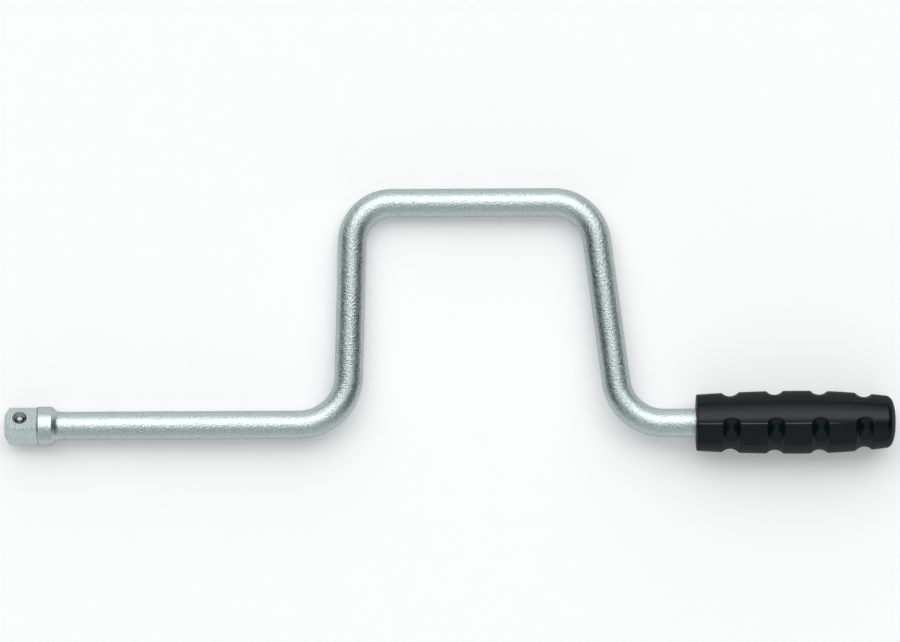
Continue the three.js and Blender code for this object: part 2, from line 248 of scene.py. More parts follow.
def new_finish(name):
    """A material with its node tree and its shader."""
    material = bpy.data.materials.new(name)
    material.use_nodes = True
    return material, material.node_tree, material.node_tree.nodes["Principled BSDF"]


def speckle(tree, place, size, stretch=(1, 1, 1), detail=2.0):
    """Noise with grains of this size, drawn out along an axis where its stretch is under 1."""
    scale = [share / size for share in stretch]
    mapping = add_node(tree, "ShaderNodeMapping", {"Vector": place, "Scale": scale})
    grains = {"Vector": mapping.outputs[0], "Scale": 1.0, "Detail": detail}
    return add_node(tree, "ShaderNodeTexNoise", grains).outputs["Fac"]


# Noise keeps to the middle of its range, so only this part of it is spread out.
noise_low = 0.3
noise_high = 0.7


def between(tree, value, low, high):
    """Noise as a number from low to high."""
    spread = {"Value": value, "From Min": noise_low, "From Max": noise_high, "To Min": low, "To Max": high}
    return add_node(tree, "ShaderNodeMapRange", spread).outputs[0]


def tinted(tree, value, low, high):
    """Noise as a colour between low and high."""
    ramp = add_node(tree, "ShaderNodeValToRGB", {"Fac": value})
    ends = (noise_low, low), (noise_high, high)
    for element, (position, colour) in zip(ramp.color_ramp.elements, ends):
        element.position = position
        element.color = (*colour, 1)
    return ramp.outputs["Color"]


def rough_up(tree, shader, height, depth):
    """Relief of this depth on the shader's surface."""
    bump = add_node(tree, "ShaderNodeBump", {"Height": height, "Strength": 1.0, "Distance": depth})
    tree.links.new(bump.outputs[0], shader.inputs["Normal"])


def drive_head():
    """Rows of the drive square, its collar and the neck down to the bar."""
    quarter = math.pi / 2
    angles = [2 * math.pi * side / bar_sides for side in range(bar_sides)]

    # The flats end in the round corners at these angles, so the nearest points of a row are moved there.
    corner_half = math.acos(square_half / corner_radius)
    for corner in range(4):
        for edge in (-corner_half, corner_half):
            edge += square_turn + quarter * corner
            angles[round(edge * bar_sides / (2 * math.pi)) % bar_sides] = edge
    turns = [(angle - square_turn + quarter / 2) % quarter - quarter / 2 for angle in angles]
    square = [min(square_half / math.cos(turn), corner_radius) for turn in turns]
    rows = [[Vector((0, 0, 0))]]

    def add_row(places):
        rows.append([Vector((along, radius * math.cos(angle), radius * math.sin(angle)))
                     for angle, (along, radius) in zip(angles, places)])

    # The flat of the tip turns over into a cone, which blends into the sides of the square.
    slope = (corner_radius - tip_radius) / tip_chamfer
    for step in range(tip_break_steps + 1):
        over = tip_break * (2 * step / tip_break_steps - 1)
        add_row([((over + tip_break) ** 2 / (4 * tip_break * slope), tip_radius + over)] * bar_sides)
    first = tip_break / slope
    last = tip_chamfer + 2 * crease_blend
    for step in range(1, tip_rows + 1):
        along = first + (last - first) * step / tip_rows
        cone = tip_radius + slope * along
        add_row([(along, soft_min(radius, cone, crease_blend)) for radius in square])
    add_row([(square_length / 2, radius) for radius in square])

    # A small fillet joins the square to the face of the collar, where the points are evenly spaced again.
    for step in range(round_steps + 1):
        turn = quarter * step / round_steps
        along = square_length - root_fillet * (1 - math.sin(turn))
        add_row([(along, radius + root_fillet * (1 - math.cos(turn))) for radius in square])
    angles = [2 * math.pi * side / bar_sides for side in range(bar_sides)]
    face_edge = [max(collar_face_radius, radius + root_fillet + edge_break) for radius in square]
    add_row([(square_length, radius) for radius in face_edge])

    # The collar falls off to a neck, and a wide fillet runs that out into the bar.
    fillet = (collar_radius - neck_chamfer - bar_radius) / (1 - math.cos(neck_slope))
    fillet_end = collar_end + neck_chamfer / math.tan(neck_slope) + fillet * math.sin(neck_slope)
    profile = [
        (square_length + collar_chamfer / 2, collar_radius - collar_chamfer / 2),
        (square_length + collar_chamfer, collar_radius),
        (collar_end, collar_radius),
        (collar_end + neck_chamfer / 2, collar_radius - neck_chamfer / 2 * math.tan(neck_slope)),
    ]
    for place in broken(profile, edge_break):
        add_row([(place[0], max(place[1], edge)) if place[0] < collar_end else place for edge in face_edge])
    for step in range(round_steps + 1):
        turn = neck_slope * (1 - step / round_steps)
        along = fillet_end - fillet * math.sin(turn)
        add_row([(along, bar_radius + fillet * (1 - math.cos(turn)))] * bar_sides)
    return rows, fillet_end


def spigot():
    """Rows of the turned-down end of the bar, from the shoulder inside the grip to its tip."""
    shoulder = grip_front + bar_entry
    profile = [
        (shoulder, bar_radius),
        (shoulder, spigot_radius),
        (ring_groove_front, spigot_radius),
        (ring_groove_front, ring_groove_radius),
        (ring_groove_rear, ring_groove_radius),
        (ring_groove_rear, spigot_radius),
        (spigot_end - spigot_chamfer, spigot_radius),
        (spigot_end, spigot_radius - spigot_chamfer),
    ]
    return turned(broken(profile, edge_break) + [(spigot_end, 0.0)], bar_sides), shoulder


def bent_bar_tree(sizes):
    """A round bar along a bent line: its corners are rounded to their bends and a circle is swept along it.
    It joins the worked ends that come in, and marks each point's lay and its place on the straight bar."""
    tree, given = sized_tree("bent_bar", sizes)
    drive_upper = calc(tree, "ADD", given["Drive Run"], given["Drive Leg Spread"])
    grip_upper = calc(tree, "ADD", drive_upper, given["Handle Length"])
    grip_lower = calc(tree, "ADD", grip_upper, given["Grip Leg Spread"])
    corners = [
        (given["Start"], 0.0, 0.0),
        (given["Drive Run"], 0.0, given["Drive Lower Bend"]),
        (drive_upper, given["Throw"], given["Drive Upper Bend"]),
        (grip_upper, given["Throw"], given["Grip Upper Bend"]),
        (grip_lower, 0.0, given["Grip Lower Bend"]),
        (given["End"], 0.0, 0.0),
    ]
    index = tree.nodes.new("GeometryNodeInputIndex").outputs[0]
    places = add_node(tree, "GeometryNodeIndexSwitch", {"Index": index}, data_type="VECTOR")
    radii = add_node(tree, "GeometryNodeIndexSwitch", {"Index": index}, data_type="FLOAT")
    for switch in (places, radii):
        while len(switch.index_switch_items) < len(corners):
            switch.index_switch_items.new()
    for number, (x, y, radius) in enumerate(corners):
        corner = add_node(tree, "ShaderNodeCombineXYZ", {"X": x, "Y": y})
        tree.links.new(corner.outputs[0], places.inputs[number + 1])
        if isinstance(radius, bpy.types.NodeSocket):
            tree.links.new(radius, radii.inputs[number + 1])
    line = add_node(tree, "GeometryNodeMeshLine", {"Count": len(corners)})
    line = add_node(tree, "GeometryNodeMeshToCurve", {"Mesh": line.outputs[0]})
    laid = {"Geometry": line.outputs[0], "Position": places.outputs[0]}
    line = add_node(tree, "GeometryNodeSetPosition", laid)
    bend = {"Curve": line.outputs[0], "Count": given["Bend Steps"], "Radius": radii.outputs[0]}
    line = add_node(tree, "GeometryNodeFilletCurve", bend, mode="POLY")
    reach = tree.nodes.new("GeometryNodeSplineParameter").outputs["Length"]
    reach = calc(tree, "ADD", reach, given["Start"])
    lay = tree.nodes.new("GeometryNodeInputTangent").outputs[0]
    marks = {"Geometry": line.outputs[0], "Name": "reach", "Value": reach}
    line = add_node(tree, "GeometryNodeStoreNamedAttribute", marks)
    marks = {"Geometry": line.outputs[0], "Name": "lay", "Value": lay}
    line = add_node(tree, "GeometryNodeStoreNamedAttribute", marks, data_type="FLOAT_VECTOR")
    circle = {"Resolution": given["Bar Sides"], "Radius": given["Bar Radius"]}
    circle = add_node(tree, "GeometryNodeCurvePrimitiveCircle", circle)
    here = tree.nodes.new("GeometryNodeInputPosition").outputs[0]
    marks = {"Geometry": circle.outputs[0], "Name": "around", "Value": here}
    circle = add_node(tree, "GeometryNodeStoreNamedAttribute", marks, data_type="FLOAT_VECTOR")
    bar = {"Curve": line.outputs[0], "Profile Curve": circle.outputs[0]}
    bar = add_node(tree, "GeometryNodeCurveToMesh", bar)
    reach = add_node(tree, "GeometryNodeInputNamedAttribute", {"Name": "reach"}).outputs[0]
    around = add_node(tree, "GeometryNodeInputNamedAttribute", {"Name": "around"}, data_type="FLOAT_VECTOR")
    around = add_node(tree, "ShaderNodeSeparateXYZ", {"Vector": around.outputs[0]})
    across = calc(tree, "MULTIPLY", around.outputs[0], -1.0)
    up = calc(tree, "MULTIPLY", around.outputs[1], -1.0)
    place = add_node(tree, "ShaderNodeCombineXYZ", {"X": reach, "Y": across, "Z": up})
    marks = {"Geometry": bar.outputs[0], "Name": "bar_place", "Value": place.outputs[0]}
    bar = add_node(tree, "GeometryNodeStoreNamedAttribute", marks, data_type="FLOAT_VECTOR")
    whole = tree.nodes.new("GeometryNodeJoinGeometry")
    tree.links.new(bar.outputs[0], whole.inputs[0])
    tree.links.new(given["Geometry"], whole.inputs[0])
    weld = {"Geometry": whole.outputs[0], "Distance": given["Weld"]}
    weld = add_node(tree, "GeometryNodeMergeByDistance", weld)
    end_tree(tree, weld.outputs[0], given["Finish"])
    return tree


def satin_chrome():
    """Satin chrome over a linished bar: streaks along the bar, fine pits, a slow change of gloss,
    and painted shade in the ring round the ball and in the root of the square."""
    dark = (0.41, 0.475, 0.475)
    bright = (0.56, 0.63, 0.625)
    tone_size = 0.0007
    fine_detail = 4.0
    gloss_size = 0.004
    roughness = 0.23, 0.29
    pit_size = 0.0008
    streak_size = 0.0005
    streak_stretch = (0.7, 1, 1)
    grain_depth = 0.00018
    head_grain = 0.5
    material, tree, shader = new_finish("satin_chrome")
    place = add_node(tree, "ShaderNodeAttribute", attribute_name="bar_place").outputs["Vector"]
    lay = add_node(tree, "ShaderNodeAttribute", attribute_name="lay").outputs["Vector"]
    tone = tinted(tree, speckle(tree, place, tone_size, detail=fine_detail), dark, bright)
    gloss = between(tree, speckle(tree, place, gloss_size), *roughness)
    along = add_node(tree, "ShaderNodeSeparateXYZ", {"Vector": place}).outputs["X"]
    worked = {"Value": along, "From Min": collar_end, "From Max": bar_start,
              "To Min": head_grain, "To Max": 1.0}
    worked = add_node(tree, "ShaderNodeMapRange", worked).outputs[0]
    pits = speckle(tree, place, pit_size, detail=fine_detail)
    streaks = speckle(tree, place, streak_size, stretch=streak_stretch)
    grain = calc(tree, "MULTIPLY", calc(tree, "ADD", pits, streaks), worked)
    rough_up(tree, shader, grain, grain_depth)

    def painted_shade(distance, reach):
        """Painted shade within this reach, which thins out just past it."""
        span = {"Value": distance, "From Min": reach, "From Max": reach + painted_shade_edge,
                "To Min": painted_shade_depth, "To Max": 0.0}
        return add_node(tree, "ShaderNodeMapRange", span).outputs[0]

    # Painted shade: the base colour is darkened in the staked ring round the ball and in the root of the
    # square.
    from_ball = vector_calc(tree, "SUBTRACT", place, (ball_from_tip, 0, 0))[0]
    beside = vector_calc(tree, "CROSS_PRODUCT", from_ball, flat_normal)[0]
    beside = vector_calc(tree, "LENGTH", beside)["Value"]
    above = vector_calc(tree, "DOT_PRODUCT", from_ball, flat_normal)["Value"]
    ring = painted_shade(beside, stake_outer_radius)
    ring = calc(tree, "MULTIPLY", ring, calc(tree, "GREATER_THAN", above, 0.0))
    from_root = calc(tree, "ABSOLUTE", calc(tree, "SUBTRACT", along, square_length))
    root = painted_shade(from_root, root_fillet)
    unshaded = calc(tree, "SUBTRACT", 1.0, calc(tree, "MAXIMUM", ring, root))
    tone = add_node(tree, "ShaderNodeVectorMath", {0: tone, "Scale": unshaded}, operation="SCALE").outputs[0]
    tree.links.new(tone, shader.inputs["Base Color"])
    tree.links.new(gloss, shader.inputs["Roughness"])
    tree.links.new(lay, shader.inputs["Tangent"])
    shader.inputs["Metallic"].default_value = 1.0
    shader.inputs["Anisotropic"].default_value = 0.4
    shader.inputs["Anisotropic Rotation"].default_value = 0.25
    shader.inputs["Specular Tint"].default_value = (0.66, 0.68, 0.69, 1)
    return material


def ball_bore():
    """The cutter of the stepped bore that holds the ball, and of the ring staked round its mouth."""
    above = 2 * square_half
    bore = [
        (square_half - ball_bore_depth, 0.0),
        (square_half - ball_bore_depth, ball_bore_radius),
        (square_half - ball_lip_depth, ball_bore_radius),
        (square_half - ball_lip_depth, ball_lip_radius),
        (above, ball_lip_radius),
        (above, 0.0),
    ]
    stake = turned([
        (square_half - stake_depth, stake_inner_radius),
        (square_half - stake_depth, stake_outer_radius),
        (above, stake_outer_radius),
        (above, stake_inner_radius),
    ], cutter_sides)
    mesh = skin("ball_bore", [turned(bore, cutter_sides), [*stake, stake[0]]])
    face_outwards(mesh)
    mesh.transform(to_ball_flat)
    return add_object("ball_bore", mesh)


# Turns the X axis on to the normal of the flat that holds the ball, at the ball's place along the square.
flat_normal = Vector((0, math.cos(square_turn), math.sin(square_turn)))
to_ball_flat = Matrix.Translation((ball_from_tip, 0, 0))
to_ball_flat = to_ball_flat @ Vector((1, 0, 0)).rotation_difference(flat_normal).to_matrix().to_4x4()

head_rows, bar_start = drive_head()
spigot_rows, bar_end = spigot()
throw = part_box("crank")[1].y - bar_radius
weld = 0.000002
bar_sizes = {
    "Start": bar_start,
    "End": bar_end,
    "Drive Run": drive_run,
    "Throw": throw,
    "Drive Leg Spread": throw * math.tan(drive_leg_lean),
    "Handle Length": handle_length,
    "Grip Leg Spread": throw * math.tan(grip_leg_lean),
    "Drive Lower Bend": drive_lower_bend,
    "Drive Upper Bend": drive_upper_bend,
    "Grip Upper Bend": grip_upper_bend,
    "Grip Lower Bend": grip_lower_bend,
    "Bar Radius": bar_radius,
    "Bar Sides": bar_sides,
    "Bend Steps": bend_steps,
    "Weld": weld,
    "Finish": satin_chrome(),
}
crank = add_object("forged_crank", skin("forged_crank", [head_rows, spigot_rows]))
grow(crank, bent_bar_tree(bar_sizes), bar_sizes)
face_outwards(crank.data)
bore_cutter = ball_bore()
cut = crank.modifiers.new("ball_bore", "BOOLEAN")
cut.object = bore_cutter
settle(crank)
bpy.data.objects.remove(bore_cutter)
shade(crank.data, bar_crease)

# The worked ends take their marks from where they lie. Past the bends the bar's extra length is added.
places = crank.data.attributes["bar_place"].data
lays = crank.data.attributes["lay"].data
bend_detour = max((place.vector.x, place.vector.x - point.co.x)
                  for point, place in zip(crank.data.vertices, places))[1]
for point, place, lay in zip(crank.data.vertices, places, lays):
    if point.co.x < bar_start + weld or point.co.x > bar_end - weld:
        detour = bend_detour if point.co.x > bar_start + weld else 0.0
        place.vector = point.co + Vector((detour, 0, 0))
        lay.vector = (1, 0, 0)
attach(crank, "crank")
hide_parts("crank")

# The detent spring is a short coil of drawn steel wire. It stands on the floor of the bore under the ball.
wire_radius = 0.00035
wire_sides = 16
coil_turns = 4.0
coil_steps = 40
wide_crease = math.radians(50)
coil_room = 0.0006
fit = 0.0001
ball_radius = 0.0032
ball_centre = sum(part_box("detent_ball"), Vector((0, 0, 0))) / 2
ball_height = ball_centre.dot(flat_normal)
coil_radius = ball_bore_radius - coil_room - wire_radius
coil_foot = square_half - ball_bore_depth + wire_radius + fit
coil_head = ball_height - math.sqrt((ball_radius + wire_radius + fit) ** 2 - coil_radius ** 2)
coil_height = coil_head - coil_foot


def coil_tree(sizes):
    """A round wire wound into an even coil along Z."""
    tree, given = sized_tree("wire_coil", sizes)
    spiral = {"Resolution": given["Steps Per Turn"], "Rotations": given["Turns"], "Height": given["Height"]}
    spiral = add_node(tree, "GeometryNodeCurveSpiral", spiral)
    for end in ("Start Radius", "End Radius"):
        tree.links.new(given["Coil Radius"], spiral.inputs[end])
    circle = {"Resolution": given["Wire Sides"], "Radius": given["Wire Radius"]}
    circle = add_node(tree, "GeometryNodeCurvePrimitiveCircle", circle)
    wire = {"Curve": spiral.outputs[0], "Profile Curve": circle.outputs[0], "Fill Caps": True}
    wire = add_node(tree, "GeometryNodeCurveToMesh", wire)
    end_tree(tree, wire.outputs[0], given["Finish"])
    return tree


def drawn_wire():
    """Drawn spring wire: dark, smooth steel with a little mottling."""
    mottle_size = 0.001
    dark = (0.21, 0.22, 0.23)
    bright = (0.27, 0.28, 0.29)
    material, tree, shader = new_finish("drawn_wire")
    place = add_node(tree, "ShaderNodeTexCoord").outputs["Object"]
    tone = tinted(tree, speckle(tree, place, mottle_size), dark, bright)
    tree.links.new(tone, shader.inputs["Base Color"])
    shader.inputs["Metallic"].default_value = 1.0
    shader.inputs["Roughness"].default_value = 0.3
    return material


coil_sizes = {
    "Turns": coil_turns,
    "Steps Per Turn": coil_steps,
    "Coil Radius": coil_radius,
    "Height": coil_height,
    "Wire Radius": wire_radius,
    "Wire Sides": wire_sides,
    "Finish": drawn_wire(),
}
spring = add_object("detent_coil", bpy.data.meshes.new("detent_coil"))
grow(spring, coil_tree(coil_sizes), coil_sizes)
face_outwards(spring.data)
coil_place = to_ball_flat @ Matrix.Translation((coil_foot, 0, 0))
spring.data.transform(coil_place @ Matrix.Rotation(math.pi / 2, 4, "Y"))
shade(spring.data, wide_crease)
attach(spring, "crank")
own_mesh(spring)
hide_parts("detent_spring")

# The detent ball is a hardened bearing ball, ground and polished. The staked mouth of its bore keeps it in,
# and it springs out of one flat of the square to hold a socket.
ball_fineness = 5


def polished_steel():
    """Polished bearing steel with the faintest clouding."""
    cloud_size = 0.0009
    roughness = 0.06, 0.10
    mottle_size = 0.002
    dark = (0.20, 0.21, 0.22)
    bright = (0.25, 0.26, 0.27)
    material, tree, shader = new_finish("polished_steel")
    place = add_node(tree, "ShaderNodeTexCoord").outputs["Object"]
    gloss = between(tree, speckle(tree, place, cloud_size), *roughness)
    tree.links.new(gloss, shader.inputs["Roughness"])
    tone = tinted(tree, speckle(tree, place, mottle_size), dark, bright)
    tree.links.new(tone, shader.inputs["Base Color"])
    shader.inputs["Metallic"].default_value = 1.0
    return material


work = bmesh.new()
bmesh.ops.create_icosphere(work, subdivisions=ball_fineness, radius=ball_radius,
                           matrix=Matrix.Translation(ball_centre))
ball = add_object("bearing_ball", bpy.data.meshes.new("bearing_ball"))
work.to_mesh(ball.data)
work.free()
shade(ball.data, wide_crease)
ball.data.materials.append(polished_steel())
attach(ball, "ball")
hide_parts("detent_ball")


# The two thrust washers are pressed from steel and zinc plated. One takes the push of the grip against the
# shoulder of the crank, the other lies under the retaining ring. They stay as the frame has them.
def zinc_plate():
    """Bright zinc plate: a cool grey with soft spangles and a slow change of gloss."""
    spangle_size = 0.0015
    dark = (0.46, 0.48, 0.50)
    bright = (0.54, 0.56, 0.57)
    gloss_size = 0.001
    roughness = 0.28, 0.42
    material, tree, shader = new_finish("zinc_plate")
    place = add_node(tree, "ShaderNodeTexCoord").outputs["Object"]
    tone = tinted(tree, speckle(tree, place, spangle_size), dark, bright)
    tree.links.new(tone, shader.inputs["Base Color"])
    gloss = between(tree, speckle(tree, place, gloss_size), *roughness)
    tree.links.new(gloss, shader.inputs["Roughness"])
    shader.inputs["Metallic"].default_value = 1.0
    return material


washer_finish = zinc_plate()
for washer in ("front_thrust_washer", "rear_thrust_washer"):
    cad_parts[washer].material_slots[0].material = washer_finish


# The two bushes are sintered bronze, soaked with oil and pressed into the grip, and run on the spigot of
# the crank. They stay as the frame has them.
def oiled_bronze():
    """Sintered bronze: brown metal, open pored and wet with oil."""
    pore_size = 0.0003
    pore_depth = 0.00002
    dark = (0.34, 0.19, 0.08)
    bright = (0.48, 0.28, 0.12)
    material, tree, shader = new_finish("oiled_bronze")
    place = add_node(tree, "ShaderNodeTexCoord").outputs["Object"]
    pores = speckle(tree, place, pore_size)
    tree.links.new(tinted(tree, pores, dark, bright), shader.inputs["Base Color"])
    rough_up(tree, shader, pores, pore_depth)
    shader.inputs["Metallic"].default_value = 1.0
    shader.inputs["Roughness"].default_value = 0.45
    return material


bush_finish = oiled_bronze()
for bush in ("front_bush", "rear_bush"):
    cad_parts[bush].material_slots[0].material = bush_finish

# The grip is a hollow barrel moulded in black plastic and left glossy. Finger grooves cross it in four rows,
# two to a row, each running part of the way round and ending in a round scoop; their rims are softened.
grip_sides = 256
grip_row_pitch = 0.00034
crest_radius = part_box("grip")[1].z
crest_from_front = 0.0475
front_radius = 0.01285
rear_radius = 0.0121
front_dome = 0.0004
front_edge = 0.0006
dome_length = 0.0052
dome_fullness = 2.6
dome_steps = 10
grip_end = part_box("end_cap")[1].x - grip_front
cap_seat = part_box("grip")[1].x - grip_front
dome_root = grip_end - dome_length
mouth_radius = 0.0068
mouth_depth = 0.0083
grip_bore_radius = 0.006
pocket_radius = 0.008
pocket_floor = 0.07505
moulded_edge = 0.00012

groove_rows = 4
groove_sides = 2
first_groove = 0.016
last_groove_from_end = 0.0147
groove_depth = 0.0017
groove_section = 0.0052
groove_start = math.radians(-6.4)
groove_sweep = math.radians(-100)
groove_rim = 0.0004
scoop_rim = 0.002
scoop_rim_start = math.radians(4)
scoop_rim_end = math.radians(12)


def barrel_radius(along):
    """The barrel swells from the front to its crest and falls to the rear dome, in two flat arcs."""
    ahead = along < crest_from_front
    run = crest_from_front if ahead else dome_root - crest_from_front
    drop = crest_radius - (front_radius if ahead else rear_radius)
    arc = (run * run + drop * drop) / (2 * drop)
    return crest_radius - arc + math.sqrt(arc * arc - (along - crest_from_front) ** 2)


def dome_place(turn):
    """A place on the rear dome, a superellipse that is fuller than a round one."""
    power = 2 / dome_fullness
    return dome_root + dome_length * math.sin(turn) ** power, rear_radius * math.cos(turn) ** power


def dome_turn(along):
    """The turn at which the dome reaches this place along the grip."""
    return math.asin(((along - dome_root) / dome_length) ** (dome_fullness / 2))


def finger_groove_tree(sizes):
    """Sinks grooves into a barrel about the X axis. A groove has a round section, runs round the barrel and
    ends in the same section turned outwards; a soft minimum of barrel and groove rounds the rim."""
    tree, given = sized_tree("finger_grooves", sizes)
    here = tree.nodes.new("GeometryNodeInputPosition").outputs[0]
    x, y, z = add_node(tree, "ShaderNodeSeparateXYZ", {"Vector": here}).outputs
    radius = calc(tree, "SQRT", calc(tree, "MULTIPLY_ADD", y, y, calc(tree, "MULTIPLY", z, z)))
    along = calc(tree, "SUBTRACT", x, given["First Row"])
    row = calc(tree, "ROUND", calc(tree, "DIVIDE", along, given["Pitch"]))
    row = calc(tree, "MINIMUM", calc(tree, "MAXIMUM", row, 0.0), calc(tree, "SUBTRACT", given["Rows"], 1.0))
    aside = calc(tree, "SUBTRACT", along, calc(tree, "MULTIPLY", row, given["Pitch"]))
    half_sweep = calc(tree, "MULTIPLY", given["Sweep"], 0.5)
    middle = calc(tree, "ADD", given["Start"], half_sweep)
    share = calc(tree, "DIVIDE", math.pi, given["Sides"])
    angle = calc(tree, "SUBTRACT", calc(tree, "ARCTAN2", y, z), middle)
    angle = calc(tree, "WRAP", angle, share, calc(tree, "MULTIPLY", share, -1.0))
    past = calc(tree, "SUBTRACT", calc(tree, "ABSOLUTE", angle), calc(tree, "ABSOLUTE", half_sweep))
    past = calc(tree, "MAXIMUM", past, 0.0)
    centre = calc(tree, "SUBTRACT", calc(tree, "ADD", radius, given["Section"]), given["Depth"])
    off = calc(tree, "MULTIPLY", centre, calc(tree, "SINE", past))
    off = calc(tree, "MULTIPLY_ADD", off, off, calc(tree, "MULTIPLY", aside, aside))
    left = calc(tree, "SUBTRACT", calc(tree, "MULTIPLY", given["Section"], given["Section"]), off)
    floor = calc(tree, "MULTIPLY", centre, calc(tree, "COSINE", past))
    floor = calc(tree, "SUBTRACT", floor, calc(tree, "SQRT", calc(tree, "MAXIMUM", left, 0.0)))
    # Outside the section there is no floor, so there it is put far out, where the minimum passes it over.
    floor = calc(tree, "ADD", floor, calc(tree, "LESS_THAN", left, 0.0))
    rim = {"Value": past, "From Min": given["Scoop Rim Start"], "From Max": given["Scoop Rim End"],
           "To Min": given["Rim"], "To Max": given["Scoop Rim"]}
    rim = add_node(tree, "ShaderNodeMapRange", rim, interpolation_type="SMOOTHSTEP").outputs[0]
    sunk = calc(tree, "SMOOTH_MIN", radius, floor, rim)
    scale = calc(tree, "DIVIDE", sunk, radius)
    place = {"X": x, "Y": calc(tree, "MULTIPLY", y, scale), "Z": calc(tree, "MULTIPLY", z, scale)}
    place = add_node(tree, "ShaderNodeCombineXYZ", place).outputs[0]
    outside = add_node(tree, "GeometryNodeInputNamedAttribute", {"Name": "outside"}, data_type="BOOLEAN")
    move = {"Geometry": given["Geometry"], "Selection": outside.outputs[0], "Position": place}
    move = add_node(tree, "GeometryNodeSetPosition", move)
    end_tree(tree, move.outputs[0], given["Finish"])
    return tree


def black_plastic():
    """Glossy black plastic from a polished mould: a faint orange peel, and a gloss worn unevenly."""
    cloud_size = 0.006
    dark = (0.0008, 0.0038, 0.0042)
    bright = (0.0018, 0.0054, 0.0058)
    wear_size = 0.002
    roughness = 0.34, 0.42
    peel_size = 0.0011
    peel_depth = 0.000008
    material, tree, shader = new_finish("black_plastic")
    place = add_node(tree, "ShaderNodeTexCoord").outputs["Object"]
    tone = tinted(tree, speckle(tree, place, cloud_size), dark, bright)
    tree.links.new(tone, shader.inputs["Base Color"])
    gloss = between(tree, speckle(tree, place, wear_size), *roughness)
    tree.links.new(gloss, shader.inputs["Roughness"])
    rough_up(tree, shader, speckle(tree, place, peel_size), peel_depth)
    shader.inputs["Specular IOR Level"].default_value = 0.0
    shader.inputs["Coat Weight"].default_value = 0.19
    shader.inputs["Coat IOR"].default_value = 1.9
    shader.inputs["Coat Roughness"].default_value = 0.09
    return material


def on_grip(profile):
    """Rows of a profile measured from the front of the grip, turned about its axis."""
    return turned([(grip_front + along, radius) for along, radius in profile], grip_sides)


edge_end = front_dome + front_edge
edge_height = barrel_radius(edge_end) - front_edge
front_rows = []
for step in range(round_steps):
    turn = math.pi / 2 * step / round_steps
    front_rows.append((edge_end - front_edge * math.cos(turn), edge_height + front_edge * math.sin(turn)))
barrel_run = dome_root - edge_end
barrel_steps = round(barrel_run / grip_row_pitch)
barrel_places = [edge_end + barrel_run * step / barrel_steps for step in range(barrel_steps + 1)]
barrel_rows = [(along, barrel_radius(along)) for along in barrel_places]
seam_turn = dome_turn(cap_seat)
dome_rows = [dome_place(seam_turn * step / dome_steps) for step in range(1, dome_steps)]
seam = dome_place(seam_turn)
inside = [
    dome_rows[-1],
    (seam[0] - moulded_edge, seam[1] + moulded_edge / 2),
    (seam[0], seam[1] - moulded_edge),
    (cap_seat, pocket_radius),
    (pocket_floor, pocket_radius),
    (pocket_floor, grip_bore_radius),
    (mouth_depth, grip_bore_radius),
    (mouth_depth, mouth_radius),
    (moulded_edge, mouth_radius),
    (0.0, mouth_radius + moulded_edge),
    front_rows[0],
]
inside_rows = broken(inside, edge_break)[1:-1]
rows = on_grip(front_rows + barrel_rows + dome_rows + inside_rows)
grip = add_object("grip_barrel", skin("grip_barrel", [[*rows, rows[0]]]))
outside = grip.data.attributes.new("outside", "BOOLEAN", "POINT")
barrel_span = grip_sides * len(front_rows), grip_sides * (len(front_rows) + len(barrel_rows))
for number in range(*barrel_span):
    outside.data[number].value = True
groove_sizes = {
    "Rows": groove_rows,
    "Sides": groove_sides,
    "First Row": grip_front + first_groove,
    "Pitch": (grip_end - last_groove_from_end - first_groove) / (groove_rows - 1),
    "Depth": groove_depth,
    "Section": groove_section,
    "Start": groove_start,
    "Sweep": groove_sweep,
    "Rim": groove_rim,
    "Scoop Rim": scoop_rim,
    "Scoop Rim Start": scoop_rim_start,
    "Scoop Rim End": scoop_rim_end,
    "Finish": black_plastic(),
}
grow(grip, finger_groove_tree(groove_sizes), groove_sizes)
face_outwards(grip.data)
shade(grip.data, wide_crease)
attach(grip, "grip")
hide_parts("grip")


# The retaining ring is a stamped spring steel circlip, blacked with phosphate. It snaps into the groove of
# the spigot and keeps the grip on. It stays as the frame has it.
def black_phosphate():
    """Phosphated steel: a dull crystalline black."""
    crystal_size = 0.0002
    crystal_depth = 0.00001
    dark = (0.024, 0.026, 0.028)
    bright = (0.036, 0.038, 0.04)
    material, tree, shader = new_finish("black_phosphate")
    place = add_node(tree, "ShaderNodeTexCoord").outputs["Object"]
    crystals = speckle(tree, place, crystal_size)
    tree.links.new(tinted(tree, crystals, dark, bright), shader.inputs["Base Color"])
    rough_up(tree, shader, crystals, crystal_depth)
    shader.inputs["Roughness"].default_value = 0.6
    return material


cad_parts["retaining_ring"].material_slots[0].material = black_phosphate()

# The end cap is moulded in the same black plastic: a shallow dome that carries on the round of the grip, on
# a hollow plug pressed into the grip's rear pocket. A hair line is left between the two.
cap_plug_radius = 0.0079
cap_wall = 0.0018
cap_plug_length = 0.0075
cap_gap = 0.0001
cap_turn = dome_turn(cap_seat + cap_gap)
cap_dome_steps = 28
cap_first_step = 2
cap_edge = dome_place(cap_turn)
plug_end = cap_seat - cap_plug_length
cap_inside = [
    (cap_seat, 0.0),
    (cap_seat, cap_plug_radius - cap_wall),
    (plug_end, cap_plug_radius - cap_wall),
    (plug_end, cap_plug_radius),
    (cap_seat + cap_gap, cap_plug_radius),
    (cap_seat + cap_gap, cap_edge[1] - moulded_edge),
    (cap_edge[0] + moulded_edge, cap_edge[1] - moulded_edge / 2),
]
cap_outside = []
for step in range(cap_first_step, cap_dome_steps):
    turn = cap_turn + (math.pi / 2 - cap_turn) * step / cap_dome_steps
    cap_outside.append(dome_place(turn))
cap_outside.append((grip_end, 0.0))
cap_rows = on_grip(broken(cap_inside, edge_break) + cap_outside)
cap = add_object("grip_cap", skin("grip_cap", [cap_rows]))
face_outwards(cap.data)
shade(cap.data, wide_crease)
cap.data.materials.append(groove_sizes["Finish"])
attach(cap, "grip")
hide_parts("end_cap")

